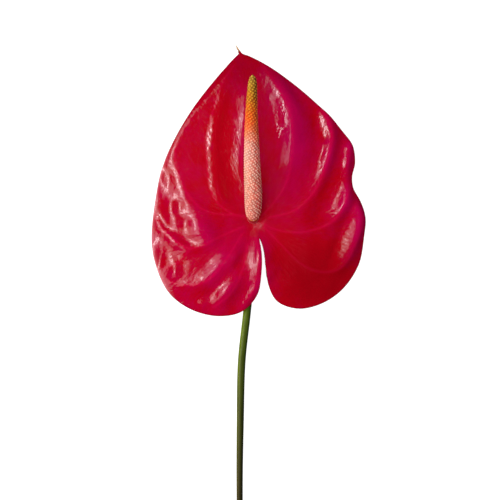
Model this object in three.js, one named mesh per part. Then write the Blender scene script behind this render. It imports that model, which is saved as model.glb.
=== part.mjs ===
// Cut anthurium stem: a heart-shaped red spathe and its spadix on a long bare peduncle.
// The flower lies face up. Millimetres; +Y runs from the cut end to the spathe's tip, +Z is up.
// Plan points are [x, y] from the junction, where peduncle, spathe and spadix meet.
import * as THREE from 'three';

// Spathe
const SPATHE_THICKNESS = 0.8;
const SPATHE_LEVEL = 10.1; // height of the open blade before its folds and rolls
const SIDE_DROOP = 0.0014; // how the blade bends down to either side, per mm
const THROAT_DEPTH = 2.5; // wide dip towards the junction
const THROAT_WIDTH = 20;
const SPADIX_FOOT = [-0.6, 3.2];
const DIMPLE_DEPTH = 0.8; // flat-bottomed dip the spadix stands in
const DIMPLE_WIDTH = 6;
const FOLD_START = 12; // the folds grow out of the throat over about this distance
const DRIP_TIP = [-3.0, 4.4]; // how far the drip tip reaches out of the apex
const DRIP_TIP_LIFT = 0.35; // rise of the drip tip per mm of its length
const SPATHE_RINGS = 25;
const SAMPLES_PER_POINT = 3;

// Spadix
const SPADIX_COLUMNS = 28; // two columns to a floret
const SPADIX_ROWS = 68; // two rows to a floret
const FLORET_HEIGHT = 0.45;
const FLORET_TWIST = 0.02; // turn of each row against the one before, radians
const FOOT_SLANT = 0.2; // lays the foot of the leaning spadix level on the spathe

// Peduncle
const PEDUNCLE_COLUMNS = 14;
const PEDUNCLE_ROWS = 40;
const CUT_SLANT = 0.8; // rise of the cut face against the stem's width

// The margin of the heart, once round from the notch between its two lobes.
const RIGHT_LOBE = [
  [3.2, -9.6], [5.1, -14.6], [6.5, -22.5], [8.1, -34.4], [13.2, -43.3], [25.4, -47.2], [39.8, -43.4],
  [51.2, -34.6],
];
const RIGHT_SIDE = [
  [59.5, -20.6], [61.7, -6.7], [62.3, 3.4], [59.4, 13], [55.2, 20.3], [54.8, 26.5], [56.5, 34.4],
  [54.8, 43.8], [45.9, 55.8], [27.2, 73.3], [7.5, 87.3], [-2.6, 92.9],
];
const APEX = [[-6.3, 94.2], [-7.4, 94.9], [-8.4, 94.2]];
const LEFT_SIDE = [
  [-14.4, 88.1], [-30, 69.6], [-42.7, 49.8], [-51.3, 31], [-55.6, 11.5], [-57.3, -9],
];
const LEFT_LOBE = [
  [-54.6, -24.4], [-47.1, -38.9], [-35, -47.7], [-19.7, -51.3], [-6.8, -48.7], [1.7, -39.4],
  [4.2, -24.8], [3.7, -14.6],
];
const MARGIN = [...RIGHT_LOBE, ...RIGHT_SIDE, ...APEX, ...LEFT_SIDE, ...LEFT_LOBE];

// Where the margin rolls down: its stretch of margin, the roll's depth and width, and its shift to
// the left of the stretch; a shift below zero is outwards.
const ROLLS = [
  { stretch: RIGHT_SIDE.slice(0, 4), depth: 5.5, width: 4.5, shift: -2.5 },
  { stretch: RIGHT_SIDE.slice(3, 9), depth: 3.5, width: 4.5, shift: -2 },
  { stretch: LEFT_SIDE.slice(0, 4), depth: 1, width: 1.6, shift: -1 },
  { stretch: [...LEFT_SIDE.slice(3), ...LEFT_LOBE.slice(0, 1)], depth: 5.4, width: 7, shift: -1.5 },
  { stretch: [...RIGHT_LOBE.slice(3), ...RIGHT_SIDE.slice(0, 1)], depth: 4, width: 6.5, shift: -2.5 },
  { stretch: LEFT_LOBE.slice(0, 6), depth: 4, width: 6.5, shift: -2.5 },
  { stretch: [...RIGHT_SIDE.slice(8), ...APEX, ...LEFT_SIDE.slice(0, 1)], depth: 2, width: 7, shift: -2 },
];

// Each fold follows a main vein: a broad swell beside it and a narrow crest along it. swell and crest
// are heights, width is the swell's, shift moves the swell to the left of the route, and peak is the
// share of the way at which the fold is highest.
const FOLDS = [
  { swell: 4, width: 5, shift: -0.5, peak: 0.65, crest: 0.5,
    route: [[4.5, 4.5], [10.7, 11.5], [18, 23.1], [20.9, 41.7], [20.6, 56], [17.7, 66.5], [12.4, 75.5],
      [3.5, 90]] },
  { swell: 4, width: 2.5, shift: -0.5, peak: 0.75, crest: 0,
    route: [[8.3, 3.4], [22.1, 7.3], [32.4, 16.6], [38.3, 28.7], [42.6, 45.6], [42.3, 54], [38, 63]] },
  { swell: 3, width: 3, shift: 0.5, peak: 0.9, crest: 0.5,
    route: [[5, 0.2], [10.9, -2.8], [20.1, -4.7], [31.3, -3.9], [44.7, 2.3], [51.3, 14.6], [54, 23]] },
  { swell: 4, width: 3, shift: 0.5, peak: 0.9, crest: 1,
    route: [[5.6, -1.9], [12.4, -9], [26.2, -22.3], [37.7, -26.8], [48.2, -24.2], [56.9, -10],
      [60.3, 3.4], [57, 12]] },
  { swell: 1.5, width: 3.5, shift: 0.5, peak: 0.7, crest: 0.5,
    route: [[-4.5, 9], [-5.6, 18], [-7, 30], [-6.6, 42], [-4.8, 60], [-4, 76]] },
  { swell: 1.6, width: 2.5, shift: -3, peak: 0.5, crest: 0,
    route: [[-4.5, 3.2], [-13.5, 6.4], [-20.8, 12.4], [-24.6, 22], [-26, 43], [-22.5, 62.8],
      [-17.5, 78], [-11, 88]] },
  { swell: 0.8, width: 2.5, shift: 1.5, peak: 0.5, crest: 0,
    route: [[-5, 4.6], [-17.7, 5.1], [-27.6, 7.3], [-34.6, 13.5], [-41.1, 24.8], [-44, 36],
      [-43, 46]] },
  { swell: 1.4, width: 2.5, shift: 0, peak: 0.75, crest: 0.3,
    route: [[-6, -1.6], [-18, -6.8], [-31, -13], [-37.2, -13.4], [-42.8, -10.2], [-52, -2],
      [-55.5, 6]] },
  { swell: 1, width: 2.5, shift: -1, peak: 0.2, crest: 0,
    route: [[-36.1, -14.6], [-41.1, -20.6], [-50.1, -25.4]] },
  { swell: 3, width: 3.5, shift: 0, peak: 0.4, crest: 0,
    route: [[-6.8, -6], [-14.6, -18.6], [-23.9, -29.8], [-31, -33.4], [-40.8, -33.8], [-47.5, -32]] },
  { swell: 1, width: 2.5, shift: -3, peak: 0.9, crest: 0,
    route: [[-3.4, -11.3], [-6.4, -25.4], [-13, -38.4], [-22.5, -46.5]] },
  { swell: 4, width: 4.5, shift: 1.5, peak: 0.3, crest: 0.5,
    route: [[1.1, -8], [2.4, -16], [2.2, -27], [-2.5, -41]] },
];
const CREST_WIDTH = 1.3;
const FOLD_REACH = 0.38; // how far a fold reaches either way from its peak, as a share of the way

// Blisters between the folds, and pits where the height is below zero:
// [x, y, half length, half width, turn in degrees, height].
const BLISTERS = [
  // beside the left margin and the left main veins
  [-27.5, 76.5, 7, 3, 55, -2], [-26, 60, 7, 3, 80, 0.5], [-24, 34, 9, 2.5, 90, -1],
  [-14, 30, 8, 3, 90, -1], [-10, 20, 5, 3, 90, -1],
  // the knotted panel on the left
  [-46.5, 9.5, 3, 2.2, 90, 0.8], [-42, 9.5, 3, 2.2, 90, -0.8], [-38.5, 0.5, 2.5, 2.5, 0, -1.2],
  [-28, -4, 8, 4.5, 123, 3], [-50.5, 0.5, 5.5, 2.5, 127, -1.2], [-41, -7.5, 7, 2.5, 151, -1],
  [-56, -12, 6, 3, 90, 1.5], [-41, -20, 6, 4, 75, -1.5], [-53, -20, 4, 2, 80, -1.2],
  [-52.5, 24, 6, 2.2, 105, 1.2], [-44, -27, 3, 2, 70, 1.5],
  // left lobe
  [-10.5, -19, 6, 2, 63, 1.2], [-13, -36, 9, 3, 55, 2.4], [-36, -38, 6, 3.5, 50, -0.5],
  [-25, -41, 4.5, 3.5, 20, -1.5], [-28, -44, 3, 2, 75, 1], [2, -36, 10, 2, 50, 1.5],
  [1, -29, 7, 2.5, 85, 1],
  // between the middle and the upper right margin
  [18, 72, 10, 2, 120, 1.5], [18, 54, 9, 3, 100, -1], [20, 50, 7.5, 4.5, 115, 1.5],
  [34, 52, 8, 2, 90, -1], [30, 40, 9, 3, 35, 1], [40, 48, 3, 2.5, 0, -0.8],
  // right margin and right lobe
  [53.5, 43, 4, 2.2, 80, 3.2], [52, 33.5, 3, 1.6, 80, 1.8], [52, 23, 7.5, 2, 90, 1.5],
  [52, 11, 5, 2, 60, 1.5], [43, 11, 10, 5, 90, -1.5], [36, 3, 5, 2.5, 60, -1.5],
  [47, -9, 10, 2.5, 70, -1.5], [30, -16, 4.5, 3.5, -30, 0.5], [18, -34, 10, 5, 10, 1.5],
  [40, -36, 5, 3, 35, 0.5],
];

function flatCurve(points, closed) {
  return new THREE.CatmullRomCurve3(points.map(([x, y]) => new THREE.Vector3(x, y, 0)), closed);
}

// A ridge along a route: a row of beads, each adding its length times a soft bell round itself.
// With a peak, the ridge fades either way from that share of the route.
function ridge(route, height, width, shift, peak) {
  const points = flatCurve(route, false).getPoints(route.length * 10);
  const beads = [];
  for (let i = 1; i < points.length; i += 1) {
    const step = points[i].clone().sub(points[i - 1]);
    const length = step.length();
    const middle = points[i].clone().add(points[i - 1]).multiplyScalar(0.5);
    beads.push({
      x: middle.x - (step.y / length) * shift,
      y: middle.y + (step.x / length) * shift,
      length,
    });
  }
  const total = beads.reduce((sum, bead) => sum + bead.length, 0);
  let reached = 0;
  for (const bead of beads) {
    const way = (reached + bead.length / 2) / total;
    reached += bead.length;
    bead.weight = bead.length * (peak === undefined ? 1 : Math.exp(-(((way - peak) / FOLD_REACH) ** 2)));
  }
  const scale = height / (width * Math.sqrt(2 * Math.PI));
  return (x, y) => {
    let sum = 0;
    for (const bead of beads) {
      const away = Math.hypot(x - bead.x, y - bead.y) / width;
      sum += bead.weight * Math.exp(-0.5 * away * away);
    }
    return scale * sum;
  };
}

function blister([cx, cy, halfLength, halfWidth, turn, height]) {
  const c = Math.cos(THREE.MathUtils.degToRad(turn));
  const s = Math.sin(THREE.MathUtils.degToRad(turn));
  return (x, y) => {
    const along = ((x - cx) * c + (y - cy) * s) / halfLength;
    const across = ((y - cy) * c - (x - cx) * s) / halfWidth;
    return height * Math.exp(-0.5 * (along * along + across * across));
  };
}

// The parts of the spathe's relief, each a function of the plan point.
const rolls = ROLLS.map(({ stretch, depth, width, shift }) => ridge(stretch, -depth, width, shift));
const folds = [
  ...FOLDS.map(({ route, swell, width, shift, peak }) => ridge(route, swell, width, shift, peak)),
  ...FOLDS.filter(({ crest }) => crest > 0)
    .map(({ route, crest, peak }) => ridge(route, crest, CREST_WIDTH, 0, peak)),
  ...BLISTERS.map(blister),
];

// Height of the spathe's middle layer over the plan point (x, y).
function spatheHeight(x, y) {
  const away = Math.hypot(x, y);
  const fromFoot = Math.hypot(x - SPADIX_FOOT[0], y - SPADIX_FOOT[1]);
  let z = SPATHE_LEVEL - SIDE_DROOP * x * x;
  z -= THROAT_DEPTH * Math.exp(-((away / THROAT_WIDTH) ** 2));
  z -= DIMPLE_DEPTH * Math.exp(-((fromFoot / DIMPLE_WIDTH) ** 4));
  z += DRIP_TIP_LIFT * Math.max(0, y - APEX[1][1]);
  for (const roll of rolls) {
    z += roll(x, y);
  }
  const grown = 1 - Math.exp(-((away / FOLD_START) ** 2));
  for (const fold of folds) {
    z += grown * fold(x, y);
  }
  return z;
}

function spatheNormal(x, y) {
  const step = 0.05;
  const slopeX = (spatheHeight(x + step, y) - spatheHeight(x - step, y)) / (2 * step);
  const slopeY = (spatheHeight(x, y + step) - spatheHeight(x, y - step)) / (2 * step);
  return new THREE.Vector3(-slopeX, -slopeY, 1).normalize();
}

function closedGeometry(vertices, triangles) {
  const geometry = new THREE.BufferGeometry();
  geometry.setAttribute('position', new THREE.Float32BufferAttribute(vertices.flatMap((v) => v.toArray()), 3));
  geometry.setIndex(triangles.flat());
  geometry.computeVertexNormals();
  return geometry;
}

// Rings of points from a small oval at the junction out to the margin, on both faces of the blade.
// Both faces are split along the same diagonals, and a rounded edge joins them at the margin.
function spatheGeometry() {
  const margin = flatCurve(MARGIN, true);
  const columns = MARGIN.length * SAMPLES_PER_POINT;
  const apexColumn = (RIGHT_LOBE.length + RIGHT_SIDE.length + 1) * SAMPLES_PER_POINT;
  const centre = new THREE.Vector2(3.2, -3.2);
  const middle = [];
  for (let ring = 0; ring < SPATHE_RINGS; ring += 1) {
    const out = 1 - (1 - ring / (SPATHE_RINGS - 1)) ** 1.3;
    for (let column = 0; column < columns; column += 1) {
      const rim = margin.getPoint(column / columns);
      const angle = 2 * Math.PI * (column / columns) - Math.PI / 2;
      const oval = new THREE.Vector2(2.6 * Math.cos(angle), 1.8 * Math.sin(angle)).add(centre);
      const tip = Math.exp(-(((column - apexColumn) / 1.4) ** 2)) * out ** 60;
      const x = THREE.MathUtils.lerp(oval.x, rim.x, out) + DRIP_TIP[0] * tip;
      const y = THREE.MathUtils.lerp(oval.y, rim.y, out) + DRIP_TIP[1] * tip;
      middle.push(new THREE.Vector3(x, y, spatheHeight(x, y)));
    }
  }
  middle.push(new THREE.Vector3(centre.x, centre.y, spatheHeight(centre.x, centre.y)));
  const half = middle.map((p) => spatheNormal(p.x, p.y).multiplyScalar(SPATHE_THICKNESS / 2));
  const vertices = [
    ...middle.map((p, i) => p.clone().add(half[i])),
    ...middle.map((p, i) => p.clone().sub(half[i])),
  ];
  const under = middle.length;
  const hub = under - 1;
  const edge = vertices.length;
  const rimStart = (SPATHE_RINGS - 1) * columns;
  for (let column = 0; column < columns; column += 1) {
    const outward = middle[rimStart + column].clone().sub(middle[rimStart - columns + column]);
    outward.setLength(SPATHE_THICKNESS * 0.35);
    vertices.push(middle[rimStart + column].clone().add(outward));
  }
  const triangles = [];
  for (let column = 0; column < columns; column += 1) {
    const next = (column + 1) % columns;
    triangles.push([hub, column, next], [under + hub, under + next, under + column]);
    for (let ring = 1; ring < SPATHE_RINGS; ring += 1) {
      const a = (ring - 1) * columns + column;
      const b = (ring - 1) * columns + next;
      const c = ring * columns + next;
      const d = ring * columns + column;
      triangles.push([a, d, c], [a, c, b]);
      triangles.push([under + a, under + c, under + d], [under + a, under + b, under + c]);
    }
    const top = rimStart + column;
    const topNext = rimStart + next;
    triangles.push([top, edge + column, edge + next], [top, edge + next, topNext]);
    triangles.push([edge + column, under + top, under + topNext]);
    triangles.push([edge + column, under + topNext, edge + next]);
  }
  return closedGeometry(vertices, triangles);
}

// A closed skin swept along an axis. Each station is { along, radius }; shape(row, column) returns
// { turn, out, forward }: the extra angle, the extra radius and the push along the axis.
function sweptSkin(axis, stations, columns, shape) {
  const length = axis.getLength();
  const vertices = [];
  const centres = [];
  for (let row = 0; row < stations.length; row += 1) {
    const at = THREE.MathUtils.clamp(stations[row].along / length, 0, 1);
    const centre = axis.getPointAt(at);
    const ahead = axis.getTangentAt(at);
    const side = new THREE.Vector3(1, 0, 0).projectOnPlane(ahead).normalize();
    const over = ahead.clone().cross(side);
    centres.push(centre);
    for (let column = 0; column < columns; column += 1) {
      const { turn, out, forward } = shape(row, column);
      const angle = (2 * Math.PI * column) / columns + turn;
      const reach = stations[row].radius + out;
      vertices.push(centre.clone()
        .addScaledVector(side, reach * Math.cos(angle))
        .addScaledVector(over, reach * Math.sin(angle))
        .addScaledVector(ahead, forward));
    }
  }
  const start = vertices.length;
  vertices.push(centres[0], centres[centres.length - 1]);
  const lastRow = (stations.length - 1) * columns;
  const triangles = [];
  for (let column = 0; column < columns; column += 1) {
    const next = (column + 1) % columns;
    triangles.push([start, next, column], [start + 1, lastRow + column, lastRow + next]);
    for (let row = 1; row < stations.length; row += 1) {
      const a = (row - 1) * columns + column;
      const b = (row - 1) * columns + next;
      const c = row * columns + next;
      const d = row * columns + column;
      if ((row + column) % 2 === 0) {
        triangles.push([a, b, c], [a, c, d]);
      } else {
        triangles.push([a, b, d], [b, c, d]);
      }
    }
  }
  return closedGeometry(vertices, triangles);
}

// The spadix leans out over the spathe. Its florets are raised diamonds that cover it from the
// bare collar at its foot to the blunt tip.
function spadixGeometry() {
  const axis = new THREE.CatmullRomCurve3([
    new THREE.Vector3(...SPADIX_FOOT, 7.75), new THREE.Vector3(-0.55, 3.5, 9.6),
    new THREE.Vector3(-0.5, 6, 12.9), new THREE.Vector3(-0.45, 10.5, 16.2),
    new THREE.Vector3(-0.5, 16.4, 19.1), new THREE.Vector3(-1.1, 30.2, 24.6),
    new THREE.Vector3(-1.5, 56.5, 33.8), new THREE.Vector3(-0.8, 77, 40.4),
  ]);
  const length = axis.getLength();
  const profile = new THREE.SplineCurve([
    [0, 2.5], [0.016, 2.65], [0.035, 3.9], [0.09, 4.6], [0.19, 4.75], [0.37, 4.35], [0.7, 3.45],
    [0.88, 2.8], [0.965, 2], [0.994, 1], [1, 0.3],
  ].map(([along, radius]) => new THREE.Vector2(along * length, radius)));
  const stations = profile.getSpacedPoints(SPADIX_ROWS).map(({ x, y }) => ({ along: x, radius: y }));
  return sweptSkin(axis, stations, SPADIX_COLUMNS, (row, column) => {
    const bare = row < 2 || row > SPADIX_ROWS - 2;
    const raised = !bare && (row + column) % 2 === 0;
    const turn = row * FLORET_TWIST;
    const over = Math.sin((2 * Math.PI * column) / SPADIX_COLUMNS + turn);
    const forward = FOOT_SLANT * Math.max(0, 1 - row / 4) * stations[row].radius * over;
    return { turn, out: raised ? FLORET_HEIGHT : 0, forward };
  });
}

// The peduncle leaves the underside of the spathe, bends back under its left lobe, comes down to
// the table and ends in a slanting cut.
function peduncleGeometry() {
  const axis = new THREE.CatmullRomCurve3([
    new THREE.Vector3(0, 0.6, 6), new THREE.Vector3(0, 0.3, 4.5), new THREE.Vector3(0, -0.6, 3.2),
    new THREE.Vector3(-0.1, -2.6, 2.4), new THREE.Vector3(-0.5, -8, 2.25),
    new THREE.Vector3(-1.4, -24, 2.3), new THREE.Vector3(-4, -50, 2.3), new THREE.Vector3(-7, -77, 2.2),
    new THREE.Vector3(-7.9, -110, 2.1), new THREE.Vector3(-8.1, -155, 2),
    new THREE.Vector3(-6.8, -210, 2), new THREE.Vector3(-4, -260, 2.1),
    new THREE.Vector3(-0.5, -302, 2.1),
  ]);
  const length = axis.getLength();
  const stations = [];
  for (let row = 0; row <= PEDUNCLE_ROWS; row += 1) {
    const part = (row / PEDUNCLE_ROWS) ** 1.6;
    const waist = 0.5 * Math.exp(-(((part - 0.42) / 0.25) ** 2));
    stations.push({ along: part * length, radius: 2.2 - waist });
  }
  return sweptSkin(axis, stations, PEDUNCLE_COLUMNS, (row, column) => {
    const height = stations[row].radius * Math.sin((2 * Math.PI * column) / PEDUNCLE_COLUMNS);
    return { turn: 0, out: 0, forward: row === PEDUNCLE_ROWS ? -CUT_SLANT * height : 0 };
  });
}

function piece(name, geometry, color, roughness) {
  const mesh = new THREE.Mesh(geometry, new THREE.MeshStandardMaterial({ color, roughness, metalness: 0 }));
  mesh.name = name;
  return mesh;
}

const flower = new THREE.Group();
flower.name = 'cut_anthurium_stem';
flower.add(piece('peduncle', peduncleGeometry(), 0x56661f, 0.5));
flower.add(piece('spathe', spatheGeometry(), 0xb00a2a, 0.22));
flower.add(piece('spadix', spadixGeometry(), 0xdd8a5c, 0.75));

// The origin is the middle of the flower's plan, on the table it lies on.
const bounds = new THREE.Box3().setFromObject(flower);
const centre = bounds.getCenter(new THREE.Vector3());
for (const mesh of flower.children) {
  mesh.geometry.translate(-centre.x, -centre.y, -bounds.min.z);
}

export default flower;
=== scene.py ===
import math

import bpy
import numpy as np
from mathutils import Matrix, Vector, noise


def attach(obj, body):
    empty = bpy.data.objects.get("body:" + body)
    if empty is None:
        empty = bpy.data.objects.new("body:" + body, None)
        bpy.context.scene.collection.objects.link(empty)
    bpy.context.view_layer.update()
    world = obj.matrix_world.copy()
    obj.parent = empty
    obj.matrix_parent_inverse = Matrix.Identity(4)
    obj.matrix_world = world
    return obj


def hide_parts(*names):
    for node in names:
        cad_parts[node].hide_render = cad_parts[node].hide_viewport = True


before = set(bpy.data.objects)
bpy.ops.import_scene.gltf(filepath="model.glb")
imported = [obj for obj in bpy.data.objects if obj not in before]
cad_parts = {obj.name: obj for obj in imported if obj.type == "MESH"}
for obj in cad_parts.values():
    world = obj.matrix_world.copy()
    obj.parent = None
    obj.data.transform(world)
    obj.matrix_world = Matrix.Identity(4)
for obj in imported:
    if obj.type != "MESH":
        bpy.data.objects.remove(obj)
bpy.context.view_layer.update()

# ---------------------------------------------------------------- peduncle
# The long bare flower stalk. It leaves the underside of the spathe, bends back under the left
# lobe, comes down to the table and ends in a slanting cut that shows its pale, wet flesh.
# It is a skin swept along its own line, with the cut face as a second finish.

# Sizes are in millimetres, and places are measured from the junction, where the three parts meet.
MM = 0.001
JUNCTION = np.array([-2.597, 102.107, 0.062])  # in the flower's frame
STALK_LINE = [
    (0, 0.6, 6.0), (0, 0.3, 4.5), (0, -0.6, 3.2), (-0.1, -2.6, 2.4), (-0.5, -8, 2.25), (-1.4, -24, 2.3),
    (-4.0, -50, 2.3), (-6.9, -77, 2.2), (-7.7, -110, 2.1), (-8.0, -155, 2.0), (-6.8, -210, 2.0),
    (-4.0, -260, 2.1), (-0.5, -302, 2.1),
]
STALK_ROWS = 260
STALK_SIDES = 40
ROW_CROWDING = 1.3  # above 1, the rows stand closer together near the junction
STALK_RADIUS = 2.2
WAIST_DEPTH, WAIST_AT, WAIST_REACH = 0.5, 0.56, 0.2  # place and reach are shares of the length
STALK_RIBS = [(7, 9, 0.025), (11, -14, 0.02)]  # number round the stalk, winding in radians, height
CUT_SLANT = 0.8
CUT_LEAD = 0.3  # the share of the slant that the row before the cut takes
CUT_STEPS = [(0.93, 0.05), (0.86, 0.25), (0.6, 0.32), (0.3, 0.28)]  # share of the radius, depth
CUT_MIDDLE_DEPTH = 0.25
# The stalk's painted shade turns round it with this angle.
STALK_SHADE_TURN = 0.3  # in radians, from the right-hand side round to where the stalk is darkest
STALK_TINTS_FROM, STALK_TINTS_TO = 0.06, -0.2  # in metres along the flower's frame
STALK_TINTS = [
    (0, (0.20, 0.29, 0.005)), (0.12, (0.165, 0.22, 0.004)), (0.24, (0.12, 0.13, 0.005)),
    (0.42, (0.085, 0.062, 0.008)), (1, (0.060, 0.042, 0.012)),
]
# The painted shade, from the stalk's lit left side to its shaded right side.
STALK_SHADE_TINTS = [(0, (1, 1, 1)), (0.5, (0.42, 0.42, 0.40)), (1, (0.10, 0.14, 0.40))]
STREAK_STRETCH = (1, 0.04, 1)  # long along the stalk
STREAK_FINENESS, STREAK_SHADES = 1400, 0.25  # the shades are lighter and darker by this share
BUNDLE_FINENESS = 2200
BUNDLE_TINTS = [(0.18, (0.22, 0.27, 0.07)), (0.42, (0.50, 0.55, 0.27))]
RELIEF_STRENGTH, RELIEF_HEIGHT = 0.35, 0.0003  # height in metres


def flowing_line(points, per_span, closed=False):
    """Points along a centripetal Catmull-Rom curve through the given ones."""
    p = np.array(points, float)
    if closed:
        p = np.vstack([p[-1:], p, p[:2]])
    else:
        p = np.vstack([2 * p[0] - p[1], p, 2 * p[-1] - p[-2]])
    line = []
    for a, b, c, d in zip(p, p[1:], p[2:], p[3:]):
        ab, bc, cd = (max(np.linalg.norm(v - u) ** 0.5, 1e-4) for u, v in ((a, b), (b, c), (c, d)))
        leave = bc * ((b - a) / ab - (c - a) / (ab + bc) + (c - b) / bc)
        arrive = bc * ((c - b) / bc - (d - b) / (bc + cd) + (d - c) / cd)
        for t in np.arange(per_span) / per_span:
            line.append(
                b
                + leave * t
                + (3 * (c - b) - 2 * leave - arrive) * t * t
                + (2 * (b - c) + leave + arrive) * t**3
            )
    if not closed:
        line.append(p[-2])
    return np.array(line)


def way_along(line):
    """The distance of each point of a line from its start."""
    return np.concatenate([[0], np.cumsum(np.linalg.norm(np.diff(line, axis=0), axis=1))])


def along_line(line, distance):
    """Centre and direction of a line at each distance from its start."""
    way = way_along(line)
    centre = np.stack([np.interp(distance, way, line[:, k]) for k in range(3)], axis=1)
    ahead = np.gradient(centre, axis=0)
    return centre, ahead / np.linalg.norm(ahead, axis=1, keepdims=True)


def swept_points(centre, ahead, radius, angle, forward):
    """Rings of points round a line; radius, angle and forward have one value per ring and column."""
    side = np.array([1.0, 0, 0]) - ahead * ahead[:, :1]
    side /= np.linalg.norm(side, axis=1, keepdims=True)
    over = np.cross(ahead, side)
    return (
        centre[:, None]
        + side[:, None] * (radius * np.cos(angle))[..., None]
        + over[:, None] * (radius * np.sin(angle))[..., None]
        + ahead[:, None] * forward[..., None]
    )


def round_the_line(sides, rows):
    """The angle of each column of a swept tube, for each of its rows."""
    return np.tile(2 * np.pi * np.arange(sides) / sides, (rows, 1))


def right_hand_share(angle, turn):
    """How far round to the right, from 0 to 1, a point of a swept tube lies; a turn moves the right."""
    return (1 + np.cos(angle - turn)) / 2


def ring_faces(rows, columns, first=0):
    """Quads between neighbouring rings."""
    row, column = np.mgrid[: rows - 1, :columns]
    following = (column + 1) % columns
    a = first + row * columns + column
    b = first + row * columns + following
    return np.stack([a, b, b + columns, a + columns], axis=-1).reshape(-1, 4).tolist()


def tube_faces(rows, columns):
    """Faces of a closed tube, whose rings are followed by the two poles at its start and end."""
    start_pole, end_pole = rows * columns, rows * columns + 1
    last_row = (rows - 1) * columns
    faces = ring_faces(rows, columns)
    for i in range(columns):
        j = (i + 1) % columns
        faces += [[start_pole, j, i], [end_pole, last_row + i, last_row + j]]
    return faces


def grown_piece(name, points, faces):
    """A mesh object at the origin, from points in millimetres measured from the junction."""
    mesh = bpy.data.meshes.new(name)
    mesh.from_pydata(((np.asarray(points).reshape(-1, 3) + JUNCTION) * MM).tolist(), [], faces)
    mesh.update()
    mesh.shade_smooth()
    piece = bpy.data.objects.new(name, mesh)
    bpy.context.scene.collection.objects.link(piece)
    return piece


def paint_attribute(piece, name, values):
    """Stores one number a point for the piece's material to read."""
    attribute = piece.data.attributes.new(name, "FLOAT", "POINT")
    attribute.data.foreach_set("value", np.asarray(values, np.float32))


def new_finish(name):
    """A material, its node tree and its surface shader."""
    finish = bpy.data.materials.new(name)
    finish.use_nodes = True
    return finish, finish.node_tree, finish.node_tree.nodes["Principled BSDF"]


def node(tree, kind, **settings):
    """Adds a node; a setting named after a socket fills it, or links it if it is a socket."""
    made = tree.nodes.new(kind)
    for key, value in settings.items():
        if hasattr(made, key):
            setattr(made, key, value)
            continue
        socket = made.inputs[int(key[1:])] if key[0] == "_" else made.inputs[key.replace("_", " ")]
        if isinstance(value, bpy.types.NodeSocket):
            tree.links.new(value, socket)
        else:
            socket.default_value = value
    return made


def object_place(tree):
    """The place of a point on its piece."""
    return node(tree, "ShaderNodeTexCoord").outputs["Object"]


def painted(tree, name):
    """The values of a painted attribute."""
    return node(tree, "ShaderNodeAttribute", attribute_name=name).outputs["Fac"]


def mottle(tree, place, scale, detail, roughness=0.5):
    """Soft random patches between 0 and 1."""
    patches = node(tree, "ShaderNodeTexNoise", Vector=place,
                   Scale=scale, Detail=detail, Roughness=roughness)
    return patches.outputs["Fac"]


def mapped(tree, value, low, high, to_low=0.0, to_high=1.0):
    """A value between low and high, brought to between to_low and to_high."""
    scaled = node(tree, "ShaderNodeMapRange", Value=value,
                  From_Min=low, From_Max=high, To_Min=to_low, To_Max=to_high)
    return scaled.outputs["Result"]


def tints(tree, value, stops):
    """The colour that a list of shares and colours gives to a value."""
    ramp = node(tree, "ShaderNodeValToRGB", Fac=value)
    elements = ramp.color_ramp.elements
    for element, (share, colour) in zip((elements[0], elements[1]), (stops[0], stops[-1])):
        element.position = share
        element.color = (*colour, 1)
    for share, colour in stops[1:-1]:
        elements.new(share).color = (*colour, 1)
    return ramp.outputs["Color"]


def blended(tree, under, over, amount=1.0, blend_type="MIX"):
    """One colour laid over another, or with another blend type worked into it."""
    mix = node(tree, "ShaderNodeMix", data_type="RGBA", blend_type=blend_type,
               Factor=amount, _6=under, _7=over)
    return mix.outputs[2]


def roughen(tree, surface, height):
    """Gives a surface the fine relief of a height."""
    bump = node(tree, "ShaderNodeBump", Height=height, Strength=RELIEF_STRENGTH, Distance=RELIEF_HEIGHT)
    tree.links.new(bump.outputs[0], surface.inputs["Normal"])


stalk_line = flowing_line(STALK_LINE, per_span=40)
down = (np.arange(STALK_ROWS + 1) / STALK_ROWS) ** ROW_CROWDING
centre, ahead = along_line(stalk_line, down * way_along(stalk_line)[-1])
radius = STALK_RADIUS - WAIST_DEPTH * np.exp(-(((down - WAIST_AT) / WAIST_REACH) ** 2))
angle = round_the_line(STALK_SIDES, STALK_ROWS + 1)
girth = np.tile(radius[:, None], (1, STALK_SIDES))
for count, winding, height in STALK_RIBS:
    girth += height * np.sin(count * angle + winding * down[:, None])
forward = np.zeros_like(girth)
forward[-1] = -CUT_SLANT * girth[-1] * np.sin(angle[-1])
forward[-2] = forward[-1] * CUT_LEAD
skin = swept_points(centre, ahead, girth, angle, forward)
# The cut face steps in from the skin and dips a little, as soft flesh does behind its tougher skin.
cut_rings = []
for share, depth in CUT_STEPS:
    cut_rings.append(centre[-1] + (skin[-1] - centre[-1]) * share - ahead[-1] * depth)
poles = [centre[0], centre[-1] - ahead[-1] * CUT_MIDDLE_DEPTH]
stalk_points = np.vstack([skin.reshape(-1, 3), *cut_rings, poles])
stalk_rings = STALK_ROWS + 1 + len(CUT_STEPS)
peduncle = grown_piece("flower_stalk", stalk_points, tube_faces(stalk_rings, STALK_SIDES))
# The stalk is painted darker and bluer towards its right side, so that its left looks yellower: painted
# shade, as from a light on the left.
stalk_painted_shade = np.tile(right_hand_share(angle[0], STALK_SHADE_TURN), stalk_rings)
paint_attribute(peduncle, "stalk_painted_shade", np.append(stalk_painted_shade, [0, 0]))

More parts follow.
